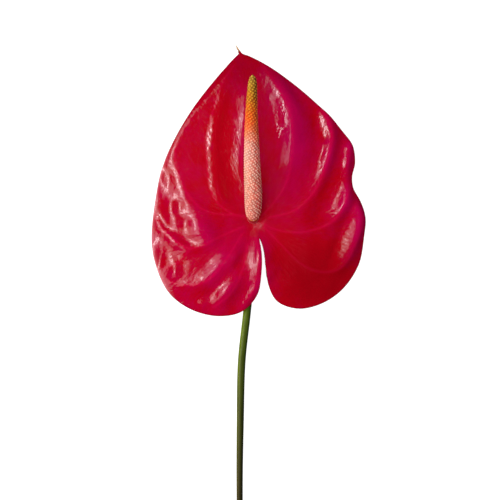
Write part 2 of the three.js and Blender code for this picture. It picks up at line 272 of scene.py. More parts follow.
stalk_skin, tree, surface = new_finish("stalk_skin")
place = object_place(tree)
length_way = node(tree, "ShaderNodeSeparateXYZ", Vector=place).outputs["Y"]
greens = tints(tree, mapped(tree, length_way, STALK_TINTS_FROM, STALK_TINTS_TO), STALK_TINTS)
stretched = node(tree, "ShaderNodeMapping", Vector=place, Scale=STREAK_STRETCH).outputs[0]
streaks = mottle(tree, stretched, STREAK_FINENESS, detail=3)
shades = mapped(tree, streaks, low=0.3, high=0.7, to_low=1 - STREAK_SHADES, to_high=1 + STREAK_SHADES)
streaked = blended(tree, greens, shades, blend_type="MULTIPLY")
# Painted shade: the greens are darkened and blued towards the stalk's right side.
stalk_shading = tints(tree, painted(tree, "stalk_painted_shade"), STALK_SHADE_TINTS)
tree.links.new(blended(tree, streaked, stalk_shading, blend_type="MULTIPLY"), surface.inputs["Base Color"])
surface.inputs["Roughness"].default_value = 0.42
surface.inputs["Specular IOR Level"].default_value = 0.25
roughen(tree, surface, streaks)

stalk_flesh, tree, surface = new_finish("stalk_flesh")
bundles = node(tree, "ShaderNodeTexVoronoi", Vector=object_place(tree), Scale=BUNDLE_FINENESS)
tree.links.new(tints(tree, bundles.outputs["Distance"], BUNDLE_TINTS), surface.inputs["Base Color"])
surface.inputs["Roughness"].default_value = 0.3

peduncle.data.materials.append(stalk_skin)
peduncle.data.materials.append(stalk_flesh)
cut_from = (STALK_ROWS + 1) * STALK_SIDES
for polygon in peduncle.data.polygons:
    if min(polygon.vertices) >= cut_from:
        polygon.material_index = 1
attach(peduncle, "root")
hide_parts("peduncle")

# ---------------------------------------------------------------- spathe
# The heart-shaped bract that is taken for the flower. A thin waxy blade: its main veins stand as
# crests with a swell beside each, the panels between them blister, the margin rolls down and the
# apex runs out in a drip tip. One height field over its outline, given its thickness both ways.

SPATHE_THICKNESS = 0.8
EDGE_THINNING, EDGE_STEEPNESS = 0.35, 60  # the share that the blade loses at its edge, and how suddenly
EDGE_LIP = 0.3  # how far the edge stands out, as a share of the thickness
SPATHE_LEVEL = 10.1
SIDE_DROOP = 0.0014
THROAT_DEPTH, THROAT_WIDTH = 2.5, 20
SPADIX_FOOT = (-0.6, 3.2)
DIMPLE_DEPTH, DIMPLE_WIDTH = 0.8, 6
DRIP_TIP = (-3.0, 4.4)
DRIP_TIP_LIFT = 0.35
DRIP_TIP_WIDTH = 0.47  # in points of the margin
DRIP_TIP_LATENESS = 60  # the higher, the nearer to the margin it sets in
RIGHT_LOBE = [
    (1.9, -5.8), (3.8, -9.8), (5.3, -14.6), (6.5, -22.5), (8.1, -34.4), (13.2, -43.3), (25.4, -47.2),
    (39.8, -43.4), (51.2, -34.6),
]
RIGHT_SIDE = [
    (59.5, -20.6), (61.7, -6.7), (62.3, 3.4), (59.4, 13.0), (55.2, 20.3), (54.8, 26.5), (56.5, 34.4),
    (54.8, 43.8), (45.9, 55.8), (27.2, 73.3), (7.5, 87.3), (-2.6, 92.9),
]
APEX = [(-6.3, 94.2), (-7.4, 94.9), (-8.4, 94.2)]
LEFT_SIDE = [(-14.4, 88.1), (-30.0, 69.6), (-42.7, 49.8), (-51.3, 31.0), (-55.6, 11.5), (-57.3, -9.0)]
LEFT_LOBE = [
    (-54.6, -24.4), (-47.1, -38.9), (-35.0, -47.7), (-19.7, -51.3), (-6.8, -48.7), (1.7, -39.4),
    (4.2, -24.8), (3.9, -14.6), (2.7, -10.0),
]
MARGIN = RIGHT_LOBE + RIGHT_SIDE + APEX + LEFT_SIDE + LEFT_LOBE
# Where the margin rolls down: its stretch of margin, the height, the width and the shift inwards.
# Each height is below zero, and so is each shift, since the drop is deepest just outside the blade.
ROLLS = [
    (RIGHT_SIDE[:4], -5.5, 4.5, -2.5), (RIGHT_SIDE[3:9], -3.5, 4.5, -2.0),
    (LEFT_SIDE[:4], -1.0, 1.6, -1.0), (LEFT_SIDE[3:] + LEFT_LOBE[:1], -5.4, 7.0, -1.5),
    (RIGHT_LOBE[4:] + RIGHT_SIDE[:1], -4.0, 6.5, -2.5), (LEFT_LOBE[:6], -4.0, 6.5, -2.5),
    (RIGHT_SIDE[8:] + APEX + LEFT_SIDE[:1], -2.0, 7.0, -2.0),
]
# One entry for each main vein: height of the swell, its width and its shift to the left of the
# vein, the share of the way where it is highest, height of the crest, and the vein's course from
# the junction outwards.
FOLDS = [
    (4.0, 5.0, -0.5, 0.65, 0.5,
     [(4.5, 4.5), (10.7, 11.5), (18, 23.1), (20.9, 41.7), (20.6, 56), (17.7, 66.5), (12.4, 75.5),
      (3.5, 90)]),
    (4.0, 2.5, -0.5, 0.75, 0.0,
     [(8.3, 3.4), (22.1, 7.3), (32.4, 16.6), (38.3, 28.7), (42.6, 45.6), (42.3, 54), (38, 63)]),
    (3.0, 3.0, 0.5, 0.9, 0.5,
     [(5, 0.2), (10.9, -2.8), (20.1, -4.7), (31.3, -3.9), (44.7, 2.3), (51.3, 14.6), (54, 23)]),
    (4.0, 3.0, 0.5, 0.9, 1.0,
     [(5.6, -1.9), (12.4, -9), (26.2, -22.3), (37.7, -26.8), (48.2, -24.2), (56.9, -10), (60.3, 3.4),
      (57, 12)]),
    (1.5, 3.5, 0.5, 0.7, 0.5,
     [(-4.5, 9), (-5.6, 18), (-7, 30), (-6.6, 42), (-4.8, 60), (-4, 76)]),
    (1.6, 2.5, -3.0, 0.5, 0.0,
     [(-4.5, 3.2), (-13.5, 6.4), (-20.8, 12.4), (-24.6, 22), (-26, 43), (-22.5, 62.8), (-17.5, 78),
      (-11, 88)]),
    (0.8, 2.5, 1.5, 0.5, 0.0,
     [(-5, 4.6), (-17.7, 5.1), (-27.6, 7.3), (-34.6, 13.5), (-41.1, 24.8), (-44, 36), (-43, 46)]),
    (1.4, 2.5, 0.0, 0.75, 0.3,
     [(-6, -1.6), (-18, -6.8), (-31, -13), (-37.2, -13.4), (-42.8, -10.2), (-52, -2), (-55.5, 6)]),
    (1.0, 2.5, -1.0, 0.2, 0.0,
     [(-36.1, -14.6), (-41.1, -20.6), (-50.1, -25.4)]),
    (3.0, 3.5, 0.0, 0.4, 0.0,
     [(-6.8, -6), (-14.6, -18.6), (-23.9, -29.8), (-31, -33.4), (-40.8, -33.8), (-47.5, -32)]),
    (1.0, 2.5, -3.0, 0.9, 0.0,
     [(-3.4, -11.3), (-6.4, -25.4), (-13, -38.4), (-22.5, -46.5)]),
    (4.0, 4.5, 1.5, 0.3, 0.5,
     [(1.1, -8), (2.4, -16), (2.2, -27), (-2.5, -41)]),
]
CREST_WIDTH = 1.3
FOLD_REACH = 0.38  # the share of a vein's way over which its fold fades from its highest place
FOLD_START = 12  # the distance from the junction over which the folds set in
# Blisters between the folds, and pits where the height is below zero: centre, half length, half
# width, turn in degrees, height.
BLISTERS = [
    # beside the left margin and the left main veins
    (-27.5, 76.5, 7, 3, 55, -2), (-26, 60, 7, 3, 80, 0.5),
    (-24, 34, 9, 2.5, 90, -1), (-14, 30, 8, 3, 90, -1), (-10, 20, 5, 3, 90, -1),
    # the knotted panel on the left
    (-46.5, 9.5, 3, 2.2, 90, 0.8), (-42, 9.5, 3, 2.2, 90, -0.8), (-38.5, 0.5, 2.5, 2.5, 0, -1.2),
    (-28, -4, 8, 4.5, 123, 3), (-50.5, 0.5, 5.5, 2.5, 127, -1.2), (-41, -7.5, 7, 2.5, 151, -1),
    (-56, -12, 6, 3, 90, 1.5), (-41, -20, 6, 4, 75, -1.5), (-53, -20, 4, 2, 80, -1.2),
    (-52.5, 24, 6, 2.2, 105, 1.2), (-44, -27, 3, 2, 70, 1.5),
    # left lobe
    (-10.5, -19, 6, 2, 63, 1.2), (-13, -36, 9, 3, 55, 2.4), (-36, -38, 6, 3.5, 50, -0.5),
    (-25, -41, 4.5, 3.5, 20, -1.5), (-28, -44, 3, 2, 75, 1), (2, -36, 10, 2, 50, 1.5),
    (1, -29, 7, 2.5, 85, 1), (3, -13, 5, 1.6, 97, 1), (-4.5, -44.5, 4, 1.5, 60, 0.8),
    # between the middle and the upper right margin
    (18, 72, 10, 2, 120, 1.5), (18, 54, 9, 3, 100, -1), (22, 56, 16, 7, 97, 0.6),
    (20, 50, 7.5, 4.5, 115, 1.5), (34, 52, 8, 2, 90, -1), (30, 40, 9, 3, 35, 1),
    (40, 48, 3, 2.5, 0, -0.8),
    # right margin and right lobe
    (53.5, 43, 4, 2.2, 80, 3.2), (52, 33.5, 3, 1.6, 80, 1.8), (54, 37, 7, 2, 88, 1.1),
    (52, 23, 7.5, 2, 90, 1.5), (52, 11, 5, 2, 60, 1.5), (43, 11, 10, 5, 90, -1.5),
    (35.5, 4, 5, 3.5, 60, -2), (47, -9, 10, 2.5, 70, -1.5), (30, -16, 4.5, 3.5, -30, 0.5),
    (18, -34, 10, 5, 10, 1.5), (40, -36, 5, 3, 35, 0.5),
]
# Small puckers that the folds and blisters are too broad for: fineness, level in the noise, weight.
PUCKERS = [(0.17, 3.1, 1.0), (0.45, 7.7, 0.4)]
PUCKER_HEIGHT, PUCKER_START = 0.16, 14
# The blade's rings start from a small oval at the junction and end at the margin.
RINGS = 119
RING_CROWDING = 1.3  # above 1, the rings stand closer together near the margin
HUB, HUB_REACH = (3.2, -3.2), (2.6, 1.8)
BACK_STEP = 2  # the back is seldom seen close, so it has every second ring only
BACK_RINGS = (RINGS - 1) // BACK_STEP + 1
SAMPLES_PER_POINT = 14
ROUTE_BEADS, VEIN_BEADS = 10, 24  # beads on each span of a vein's course
VEIN_WIDTH, RIM_WIDTH = 0.4, 0.7
# The swells are painted with a purple-pink sheen, in full at this height.
SWELL_FOR_FULL_SHEEN = 6  # the height at which a fold has its full colour
# A painted highlight along the rim of the left margin begins and fades in at these distances.
RIM_HIGHLIGHT_FROM, RIM_HIGHLIGHT_FADE = 44, 6  # distances to the left of the junction
# Soft oval patches where the red is painted darker as shade, or purer: centre, half width, half height.
FAR_LOBE = (32, -28, 24, 20)
NEAR_APEX = (-2, 88, 30, 18)
LEFT_PANEL = (-19, 42, 6, 36)
TIP_TINTS_FROM, TIP_TINTS_LENGTH = 95.0, 5.0
TIP_TINTS_EDGE = 0.02  # the least share in the drip tip that still takes its colours
TIP_COVER = 6.0  # the colours hide the red from one sixth of their length on
# The drip tip's tints: the dark first one is painted shadow of the fold at the tip's foot, then tan and
# olive.
TIP_TINTS_AND_SHADOW = [(0, (0.12, 0.0, 0.01)), (0.4, (0.50, 0.26, 0.12)), (1, (0.50, 0.40, 0.14))]
REDS = [(0.05, (0.35, 0.0, 0.006)), (0.95, (0.37, 0.0, 0.05))]
# What tints the red purple-pink: the clouds and the streaks, which are the blade's own patchy tone, and the
# swells, where the tint is painted sheen;
# all from a start below zero. A pure patch takes some of it away again.
CLOUD_WARMTH, STREAK_WARMTH, WARMTH_START, PURE_COOLING = 1.5, 0.9, -0.95, 0.7
STREAKS_ROUND, STREAKS_OUTWARD = 26.0, 0.16  # how close the streaks are round the junction and outwards
CLOUD_FINENESS, CELL_FINENESS, GRAIN_FINENESS = 70, 330, 550
STREAK_RELIEF = 1.5
# What is laid over the reds, in this order: the painted attribute, its colour and how much it covers.
OVER_THE_REDS = [
    ("vein", (0.54, 0.002, 0.045, 1), 0.4), ("painted_shade", (0.15, 0.0, 0.002, 1), 0.5),
    ("rim", (0.20, 0.0, 0.006, 1), 0.6), ("painted_rim_highlight", (0.75, 0.20, 0.24, 1), 0.7),
]


def ridge(x, y, route, height, width, shift=0.0, peak=None):
    """Height that a soft ridge along a route adds over the plan points x, y; it can fade from a peak."""
    line = flowing_line(route, ROUTE_BEADS)
    step = np.diff(line, axis=0)
    length = np.linalg.norm(step, axis=1)
    bead = (line[1:] + line[:-1]) / 2 + np.stack([-step[:, 1], step[:, 0]], 1) / length[:, None] * shift
    share = length.copy()
    if peak is not None:
        way = (np.cumsum(length) - length / 2) / length.sum()
        share *= np.exp(-(((way - peak) / FOLD_REACH) ** 2))
    total = np.zeros_like(x)
    for (bead_x, bead_y), weight in zip(bead, share):
        total += weight * np.exp(-((x - bead_x) ** 2 + (y - bead_y) ** 2) / (2 * width**2))
    return height * total / (width * math.sqrt(2 * math.pi))


def blister(x, y, centre_x, centre_y, half_length, half_width, turn, height):
    """Height that one blister adds."""
    c, s = math.cos(math.radians(turn)), math.sin(math.radians(turn))
    along = ((x - centre_x) * c + (y - centre_y) * s) / half_length
    across = ((y - centre_y) * c - (x - centre_x) * s) / half_width
    return height * np.exp(-0.5 * (along**2 + across**2))


def fold_height(x, y):
    """Height that the swells, the crests and the blisters add, which grows from nothing at the junction."""
    z = np.zeros_like(x)
    for swell, width, shift, peak, crest, route in FOLDS:
        z += ridge(x, y, route, swell, width, shift, peak)
        z += ridge(x, y, route, crest, CREST_WIDTH, 0, peak)
    for shape in BLISTERS:
        z += blister(x, y, *shape)
    return z * (1 - np.exp(-((np.hypot(x, y) / FOLD_START) ** 2)))


def bare_height(x, y):
    """Height of the blade without its folds: drooping sides, throat, dimple, drip tip and rolls."""
    foot = np.hypot(x - SPADIX_FOOT[0], y - SPADIX_FOOT[1])
    z = SPATHE_LEVEL - SIDE_DROOP * x * x
    z = z - THROAT_DEPTH * np.exp(-((np.hypot(x, y) / THROAT_WIDTH) ** 2))
    z = z - DIMPLE_DEPTH * np.exp(-((foot / DIMPLE_WIDTH) ** 4))
    z = z + DRIP_TIP_LIFT * np.maximum(0, y - APEX[1][1])
    for route, height, width, shift in ROLLS:
        z = z + ridge(x, y, route, height, width, shift)
    return z


def pucker_height(x, y):
    """Height that the small puckers add."""
    z = np.zeros_like(x)
    for fineness, level, weight in PUCKERS:
        spots = zip(x.ravel() * fineness, y.ravel() * fineness)
        z += weight * np.array([noise.noise(Vector((*spot, level))) for spot in spots]).reshape(x.shape)
    return PUCKER_HEIGHT * z * (1 - np.exp(-((np.hypot(x, y) / PUCKER_START) ** 2)))


margin = flowing_line(MARGIN, SAMPLES_PER_POINT, closed=True)
columns = len(margin)
apex_column = (len(RIGHT_LOBE) + len(RIGHT_SIDE) + 1) * SAMPLES_PER_POINT
out = 1 - (1 - np.arange(RINGS) / (RINGS - 1))[:, None] ** RING_CROWDING
column = np.arange(columns)
turn = 2 * np.pi * column / columns - np.pi / 2
off_apex = (column - apex_column) / (DRIP_TIP_WIDTH * SAMPLES_PER_POINT)
tip = np.exp(-(off_apex**2)) * out**DRIP_TIP_LATENESS
x = (HUB[0] + HUB_REACH[0] * np.cos(turn)) * (1 - out) + margin[:, 0] * out + DRIP_TIP[0] * tip
y = (HUB[1] + HUB_REACH[1] * np.sin(turn)) * (1 - out) + margin[:, 1] * out + DRIP_TIP[1] * tip
folds = fold_height(x, y)
middle = np.stack([x, y, bare_height(x, y) + folds + pucker_height(x, y)], axis=-1)
outwards = np.gradient(middle, axis=0)
round_about = (np.roll(middle, -1, axis=1) - np.roll(middle, 1, axis=1)) / 2
normal = np.cross(outwards, round_about)
normal /= np.linalg.norm(normal, axis=-1, keepdims=True)
half = SPATHE_THICKNESS / 2 * (1 - EDGE_THINNING * np.exp(-(1 - out)[..., None] * EDGE_STEEPNESS))
lip = outwards[-1] / np.linalg.norm(outwards[-1], axis=-1, keepdims=True) * SPATHE_THICKNESS * EDGE_LIP
face = (middle + normal * half).reshape(-1, 3)
back = (middle - normal * half)[::BACK_STEP].reshape(-1, 3)
hub = middle[0].mean(axis=0)
hub_half = (0, 0, SPATHE_THICKNESS / 2)
blade_points = np.vstack([face, back, middle[-1] + lip, [hub + hub_half], [hub - hub_half]])
back_start, edge_start = len(face), len(face) + len(back)
face_hub, back_hub = edge_start + columns, edge_start + columns + 1
face_rim, back_rim = back_start - columns, edge_start - columns
blade_faces = [quad[::-1] for quad in ring_faces(RINGS, columns)]
blade_faces += ring_faces(BACK_RINGS, columns, back_start)
for i in range(columns):
    j = (i + 1) % columns
    blade_faces += [[face_hub, i, j], [back_hub, back_start + j, back_start + i]]
    blade_faces += [[face_rim + i, edge_start + i, edge_start + j, face_rim + j]]
    blade_faces += [[edge_start + i, back_rim + i, back_rim + j, edge_start + j]]
spathe = grown_piece("spathe_blade", blade_points, blade_faces)


def paint_blade(name, grid):
    """Paints a grid of values on the face, the back, the edge and the two hub points."""
    grid = np.broadcast_to(grid, x.shape)
    values = [grid.ravel(), grid[::BACK_STEP].ravel(), grid[-1], grid[0, :2]]
    paint_attribute(spathe, name, np.concatenate(values))


def oval_patch(centre_x, centre_y, half_width, half_height):
    """A soft patch of the blade, 1 at its centre."""
    return np.exp(-(((x - centre_x) / half_width) ** 2) - ((y - centre_y) / half_height) ** 2)


vein_line = np.zeros_like(x)
for *_, route in FOLDS:
    nearest = np.full(x.shape, np.inf)
    for bead_x, bead_y in flowing_line(route, VEIN_BEADS):
        nearest = np.minimum(nearest, (x - bead_x) ** 2 + (y - bead_y) ** 2)
    vein_line = np.maximum(vein_line, np.exp(-nearest / (2 * VEIN_WIDTH**2)))
rim = np.exp(-np.linalg.norm(middle - middle[-1:], axis=-1) / RIM_WIDTH)
far_lobe = oval_patch(*FAR_LOBE)
paint_blade("vein", vein_line)
# Painted sheen: the higher a swell, the more purple-pink it is tinted.
paint_blade("swell", np.clip(folds / SWELL_FOR_FULL_SHEEN, 0, 1))
paint_blade("rim", rim)
# Painted highlight: a pale pink line along the rim, on the left margin only.
paint_blade("painted_rim_highlight", rim * np.clip((-x - RIM_HIGHLIGHT_FROM) / RIM_HIGHLIGHT_FADE, 0, 1))
# Painted shade: the far right lobe and the blade near the apex are darkened.
paint_blade("painted_shade", np.minimum(far_lobe + oval_patch(*NEAR_APEX), 1))
paint_blade("pure", np.minimum(far_lobe + oval_patch(*LEFT_PANEL), 1))
paint_blade("tip", np.clip((y - TIP_TINTS_FROM) / TIP_TINTS_LENGTH, 0, 1) * (tip > TIP_TINTS_EDGE))
paint_blade("round_about", np.unwrap(np.arctan2(y, x), axis=1))
paint_blade("outward", np.hypot(x, y))


def times(tree, value, factor, plus=0.0):
    """value * factor + plus."""
    return node(tree, "ShaderNodeMath", operation="MULTIPLY_ADD", _0=value, _1=factor, _2=plus).outputs[0]


def worked_out(tree, first, operation, second, use_clamp=False):
    """The result of an operation on two values; clamped, it stays between 0 and 1."""
    step = node(tree, "ShaderNodeMath", operation=operation, use_clamp=use_clamp, _0=first, _1=second)
    return step.outputs[0]


wax, tree, surface = new_finish("waxy_spathe")
place = object_place(tree)
# Streaks that run outwards from the junction, in polar coordinates.
polar = node(tree, "ShaderNodeCombineXYZ", X=times(tree, painted(tree, "round_about"), STREAKS_ROUND),
             Y=times(tree, painted(tree, "outward"), STREAKS_OUTWARD)).outputs[0]
streaks = mottle(tree, polar, scale=1.6, detail=5, roughness=0.62)
clouds = mottle(tree, place, CLOUD_FINENESS, detail=5, roughness=0.62)
tone_and_sheen = times(tree, clouds, CLOUD_WARMTH, times(tree, streaks, STREAK_WARMTH, WARMTH_START))
# Painted sheen on the swells, added to the blade's own patchy tone.
tone_and_sheen = worked_out(tree, tone_and_sheen, "ADD", painted(tree, "swell"))
cooling = times(tree, painted(tree, "pure"), PURE_COOLING)
blade_colour = tints(tree, worked_out(tree, tone_and_sheen, "SUBTRACT", cooling, use_clamp=True), REDS)
for attribute, colour, cover in OVER_THE_REDS:
    blade_colour = blended(tree, blade_colour, colour, times(tree, painted(tree, attribute), cover))
tip_way = painted(tree, "tip")
on_tip = worked_out(tree, tip_way, "MULTIPLY", TIP_COVER, use_clamp=True)
# The drip tip's own tan and olive, after a dark band of painted shadow at its foot.
tipped = blended(tree, blade_colour, tints(tree, tip_way, TIP_TINTS_AND_SHADOW), on_tip)
tree.links.new(tipped, surface.inputs["Base Color"])
# Fine grain of the skin: it frays the edges of the shine and speckles it.
cells = mottle(tree, place, CELL_FINENESS, detail=4, roughness=0.6)
grain = mottle(tree, place, GRAIN_FINENESS, detail=1, roughness=0.6)
fine_streaks = mottle(tree, polar, scale=1.0, detail=1, roughness=0.6)
roughen(tree, surface, worked_out(tree, grain, "ADD", times(tree, fine_streaks, STREAK_RELIEF, cells)))
waxing = mapped(tree, grain, low=0.35, high=0.65, to_low=0.05, to_high=0.10)
tree.links.new(waxing, surface.inputs["Roughness"])
surface.inputs["IOR"].default_value = 1.45
spathe.data.materials.append(wax)
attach(spathe, "root")
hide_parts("spathe")

# ---------------------------------------------------------------- spadix
# The fleshy spike that carries the true flowers. A tapering core on a short bare neck, whose
# slanting foot sits in the blade's dimple, with florets in close spirals all over it: each has
# four blunt segments round a pale stigma.

SPADIX_LINE = [
    (*SPADIX_FOOT, 7.75), (-0.6, 3.4, 9.0), (-0.58, 4.6, 10.9), (-0.52, 7.3, 13.3), (-0.48, 11.0, 16.0),
    (-0.5, 16.4, 19.1), (-1.1, 30.2, 24.6), (-1.5, 56.5, 33.8), (-0.8, 77.0, 40.4),
]
# The share of the spike's length and the radius there.
SPADIX_PROFILE = [
    (0, 3.0), (0.006, 3.1), (0.012, 2.6), (0.026, 2.6), (0.034, 3.0), (0.066, 3.75), (0.11, 4.2),
    (0.2, 4.4), (0.37, 4.15), (0.7, 3.15), (0.88, 2.4), (0.965, 1.75), (0.994, 0.9), (1, 0.3),
]
SPADIX_ROWS = 100
SPADIX_COLUMNS = 36
NECK_LENGTH, NECK_ROWS = 3.4, 20
FOOT_SLANT, FOOT_SLANT_REACH = 0.2, 5.2
# The spike's painted shade is deepest this far round from its right-hand side.
SPIKE_SHADE_TURN = 0.25  # in radians, from the right-hand side round to where the spike is reddest
FLORET_SPACING = 1.5
FLORET_CLOSENESS = 0.87  # the area of a floret's place, as a share of its spacing squared
GOLDEN_ANGLE = 2.39996
JOSTLE_SEED = 5
LEAST_RADIUS = 0.5  # the spacing reckons with no less, so that the florets don't drift apart at the tip
BARE_END = 0.3  # the stretch without florets above the neck and at the tip
FLORET_JOSTLE = 0.07  # in radians round the spike
FLORET_REACH = 0.94
FLORET_CORNERS = 8
BLUNTNESS = 0.84  # the reach of the corners between the segments, as a share of the others'
SEGMENTS_FROM = 0.5  # the segments part only outside this share of the reach
FLORET_TOP = 0.44
# A floret's rings: share of its reach, height, share of the stigma's colour, and how far out of the gaps,
# with their painted shade, it is raised.
FLORET_RINGS = [(1.0, -0.1, 0, 0), (0.88, 0.12, 0, 0.6), (0.5, 0.26, 0.1, 1), (0.3, 0.38, 1, 1)]
SIZE_SPREAD, LEAN, GROWTH_SEED = 0.12, 0.2, 11  # share of a floret's size, radians, random seed
SPIKE_TINTS_FROM, SPIKE_TINTS_TO = 0.108, 0.184  # in metres along the flower's frame
TINT_WANDER, WANDER_FINENESS = 0.012, 160  # how far the tints shift in places, in metres
# Painted shade between the florets: the gaps take more of the darker, redder shaded-side tints.
GAP_PAINTED_SHADE = 0.3  # how much redder it is between the florets
FLORET_SHADES = 0.25  # a floret is lighter or darker by up to this share
STIGMA_COVER = 0.5
NECK_EDGE = 0.01  # the share of the neck's way where its colours begin
# The spike ripens from salmon at the foot through orange to olive. Its left side is painted paler and its
# right side darker and redder: painted light and shade, as from a light on the left.
RIPE_TINTS_PAINTED_LIT = [
    (0.0, (0.80, 0.26, 0.19)), (0.3, (0.80, 0.33, 0.22)), (0.52, (0.84, 0.38, 0.28)),
    (0.64, (0.84, 0.17, 0.06)), (0.72, (0.84, 0.09, 0.004)), (0.82, (0.62, 0.13, 0.006)),
    (0.92, (0.44, 0.18, 0.010)), (1.0, (0.44, 0.24, 0.03)),
]
RIPE_TINTS_PAINTED_SHADED = [
    (0.0, (0.38, 0.018, 0.022)), (0.5, (0.40, 0.028, 0.026)), (0.64, (0.38, 0.022, 0.006)),
    (0.76, (0.30, 0.020, 0.001)), (0.9, (0.11, 0.022, 0.002)), (1.0, (0.10, 0.030, 0.003)),
]
STIGMA_TINTS = [
    (0.0, (1.0, 0.66, 0.54)), (0.52, (1.0, 0.70, 0.58)), (0.66, (1.0, 0.36, 0.10)),
    (0.8, (1.0, 0.42, 0.03)), (0.9, (0.85, 0.48, 0.04)), (1.0, (0.75, 0.50, 0.08)),
]
# The bare neck: a golden ring under the florets, red skin below it and a pale pink rim at the blade.
NECK_TINTS = [
    (0, (0.75, 0.42, 0.03)), (0.22, (0.75, 0.42, 0.03)), (0.3, (0.40, 0.01, 0.02)),
    (0.75, (0.36, 0.0, 0.02)), (1, (0.85, 0.36, 0.34)),
]


def foot_slant(at, radius, angle):
    """How far the foot's slanting rim moves a point of the skin along the spike."""
    return FOOT_SLANT * np.maximum(0, 1 - at / FOOT_SLANT_REACH) * radius * np.sin(angle)


spadix_line = flowing_line(SPADIX_LINE, per_span=40)
spadix_length = way_along(spadix_line)[-1]
profile = flowing_line([(share * spadix_length, radius) for share, radius in SPADIX_PROFILE], per_span=60)
skin_way = way_along(profile)
stops = np.append(np.linspace(0, NECK_LENGTH, NECK_ROWS, endpoint=False),
                  np.linspace(NECK_LENGTH, skin_way[-1], SPADIX_ROWS - NECK_ROWS))
at = np.interp(stops, skin_way, profile[:, 0])
radius = np.tile(np.interp(stops, skin_way, profile[:, 1])[:, None], (1, SPADIX_COLUMNS))
centre, ahead = along_line(spadix_line, at)
angle = round_the_line(SPADIX_COLUMNS, SPADIX_ROWS)
core = swept_points(centre, ahead, radius, angle, foot_slant(at[:, None], radius, angle))
core_points = np.vstack([core.reshape(-1, 3), centre[:1], centre[-1:]])
spadix = grown_piece("spadix_spike", core_points, tube_faces(SPADIX_ROWS, SPADIX_COLUMNS))
# Painted light and shade: the spike's left side is lit, its right side shaded.
paint_attribute(spadix, "spike_painted_shade", np.append(right_hand_share(angle, SPIKE_SHADE_TURN).ravel(), [0.5, 0.5]))
neck = np.repeat(np.clip(1 - stops / NECK_LENGTH, 0, 1), SPADIX_COLUMNS)
paint_attribute(spadix, "neck", np.append(neck, [1, 0]))

# Each floret stands a golden turn on from the last, so that they keep one spacing up to the tip.
floret_stops = [NECK_LENGTH + BARE_END]
while floret_stops[-1] < skin_way[-1] - BARE_END:
    here = max(np.interp(floret_stops[-1], skin_way, profile[:, 1]), LEAST_RADIUS)
    floret_stops.append(floret_stops[-1] + FLORET_CLOSENESS * FLORET_SPACING**2 / (2 * np.pi * here))
floret_at = np.interp(floret_stops, skin_way, profile[:, 0])[:, None]
floret_radius = np.interp(floret_stops, skin_way, profile[:, 1])[:, None]
floret_centre, floret_ahead = along_line(spadix_line, floret_at[:, 0])
jostle = np.random.default_rng(JOSTLE_SEED).uniform(-FLORET_JOSTLE, FLORET_JOSTLE, floret_at.shape)
floret_angle = GOLDEN_ANGLE * np.arange(len(floret_stops))[:, None] + jostle
slant = foot_slant(floret_at, floret_radius, floret_angle)
spots = swept_points(floret_centre, floret_ahead, floret_radius, floret_angle, slant)[:, 0]
taper = np.gradient(floret_radius[:, 0], np.array(floret_stops))[:, None]
facing = (spots - floret_centre - floret_ahead * slant) / floret_radius - floret_ahead * taper
floret_spots = grown_piece("floret_spots", spots, [])
for name, vectors in (("facing", facing), ("heading", floret_ahead)):
    arrows = floret_spots.data.attributes.new(name, "FLOAT_VECTOR", "POINT")
    arrows.data.foreach_set("vector", vectors.astype(np.float32).ravel())
# The florets take the same painted light and shade as the core under them.
paint_attribute(floret_spots, "spike_painted_shade", right_hand_share(floret_angle[:, 0], SPIKE_SHADE_TURN))

# One floret, in metres, its foot sunk in the core.
floret_points, stigma, raised = [], [], []
for share, height, pale, clear in FLORET_RINGS:
    for k in range(FLORET_CORNERS):
        a = 2 * math.pi * k / FLORET_CORNERS
        between_segments = k % 2 and share > SEGMENTS_FROM
        reach = FLORET_REACH * share * (BLUNTNESS if between_segments else 1)
        floret_points.append((reach * math.cos(a) * MM, reach * math.sin(a) * MM, height * MM))
        stigma.append(pale)
        raised.append(clear)
floret_points.append((0, 0, FLORET_TOP * MM))
stigma.append(1)
raised.append(1)
floret_faces = ring_faces(len(FLORET_RINGS), FLORET_CORNERS)
top = len(floret_points) - 1
last_ring = top - FLORET_CORNERS
for k in range(FLORET_CORNERS):
    floret_faces.append([last_ring + k, last_ring + (k + 1) % FLORET_CORNERS, top])
floret_mesh = bpy.data.meshes.new("floret")
floret_mesh.from_pydata(floret_points, [], floret_faces)
floret_mesh.shade_smooth()
floret = bpy.data.objects.new("floret", floret_mesh)
paint_attribute(floret, "stigma", stigma)
paint_attribute(floret, "raised", raised)

# The tree sets a floret on each spot, facing away from the core and heading for the tip.
florets = bpy.data.node_groups.new("florets_on_spadix", "GeometryNodeTree")
florets.is_modifier = True
inlets = {}
for name, kind in (
    ("Geometry", "Geometry"), ("Spots", "Object"), ("Floret", "Object"), ("Size Spread", "Float"),
    ("Lean", "Float"), ("Seed", "Int"), ("Finish", "Material"),
):
    inlets[name] = florets.interface.new_socket(name, in_out="INPUT", socket_type="NodeSocket" + kind)
florets.interface.new_socket("Geometry", in_out="OUTPUT", socket_type="NodeSocketGeometry")
given = node(florets, "NodeGroupInput").outputs


def arrow(name):
    """The direction that each spot carries under a name."""
    return node(florets, "GeometryNodeInputNamedAttribute", data_type="FLOAT_VECTOR", Name=name).outputs[0]


def drawn(data_type, **limits):
    """A value drawn for each floret."""
    return node(florets, "FunctionNodeRandomValue", data_type=data_type, Seed=given["Seed"], **limits)


def form_of(holder):
    """The mesh of an object that the tree is given."""
    return node(florets, "GeometryNodeObjectInfo", Object=holder).outputs["Geometry"]


